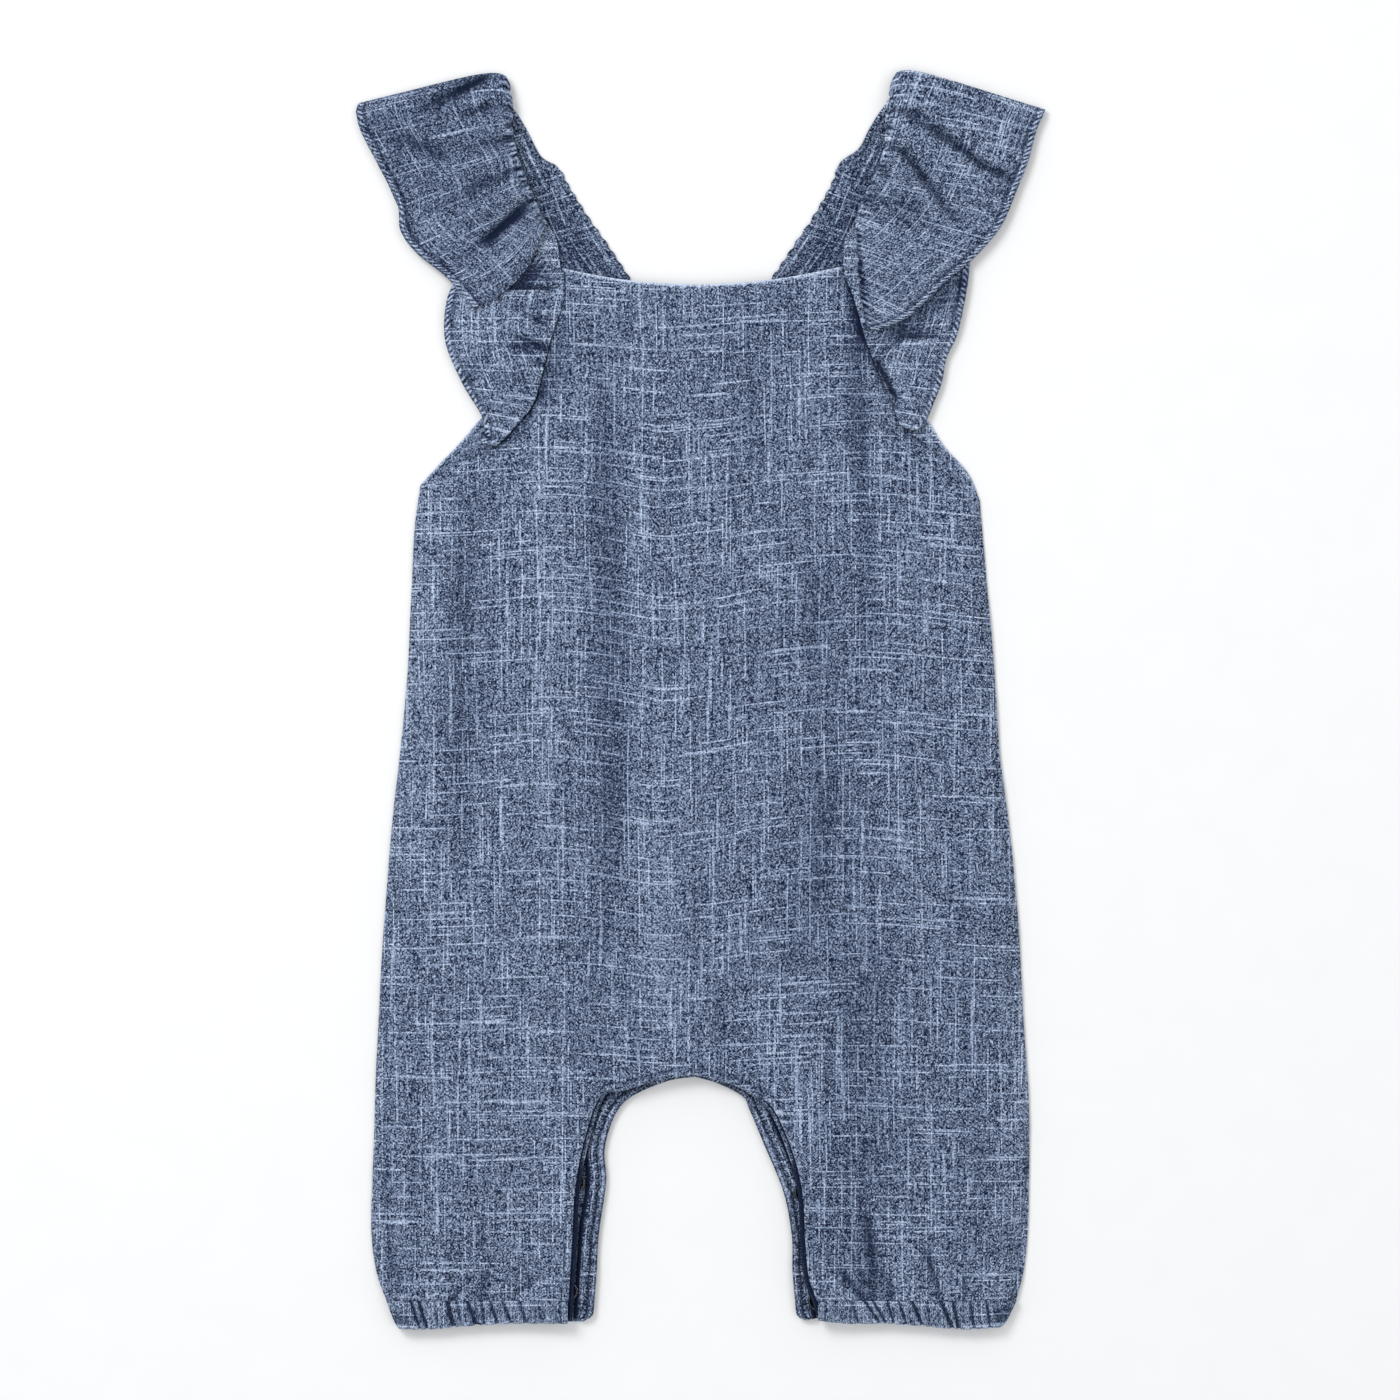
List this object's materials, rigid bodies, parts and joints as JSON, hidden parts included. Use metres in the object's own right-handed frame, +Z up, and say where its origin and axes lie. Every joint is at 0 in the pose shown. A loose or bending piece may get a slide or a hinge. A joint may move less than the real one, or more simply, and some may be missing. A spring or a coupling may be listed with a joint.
{
  "type": "baby dungarees",
  "caption": "Baby dungarees laid flat, with a bib front, ruffled shoulder straps, gathered elastic leg hems and a snap-fastened inside-leg opening.",
  "frame": {"origin": "bottom centre of the bounding box, on the surface that the garment lies on", "axes": "+Y from the leg hems to the shoulders, +X towards the right of someone who looks down on the front, +Z up out of the front"},
  "size_m": [0.2764, 0.5037, 0.0088],
  "materials": {
    "chambray": "washed slubby linen chambray, indigo warp and pale weft, matt",
    "chambray_wrong_side": "wrong side of the same chambray, in the shade",
    "snap_metal": "dark gunmetal plating, satin"
  },
  "bodies": {
    "root": {"front_panel": "chambray", "back_panel": "chambray", "ruffle_left": "chambray", "ruffle_right": "chambray", "ruffle_tail_left": "chambray", "ruffle_tail_right": "chambray", "strap_left": "chambray_wrong_side", "strap_right": "chambray_wrong_side", "placket_front_left": "chambray", "placket_front_right": "chambray", "placket_back_left": "chambray", "placket_back_right": "chambray", "leg_casing_left": "chambray", "leg_casing_right": "chambray", "snap_left_1": "snap_metal", "snap_left_2": "snap_metal", "snap_right_1": "snap_metal", "snap_right_2": "snap_metal"}
  },
  "joints": []
}
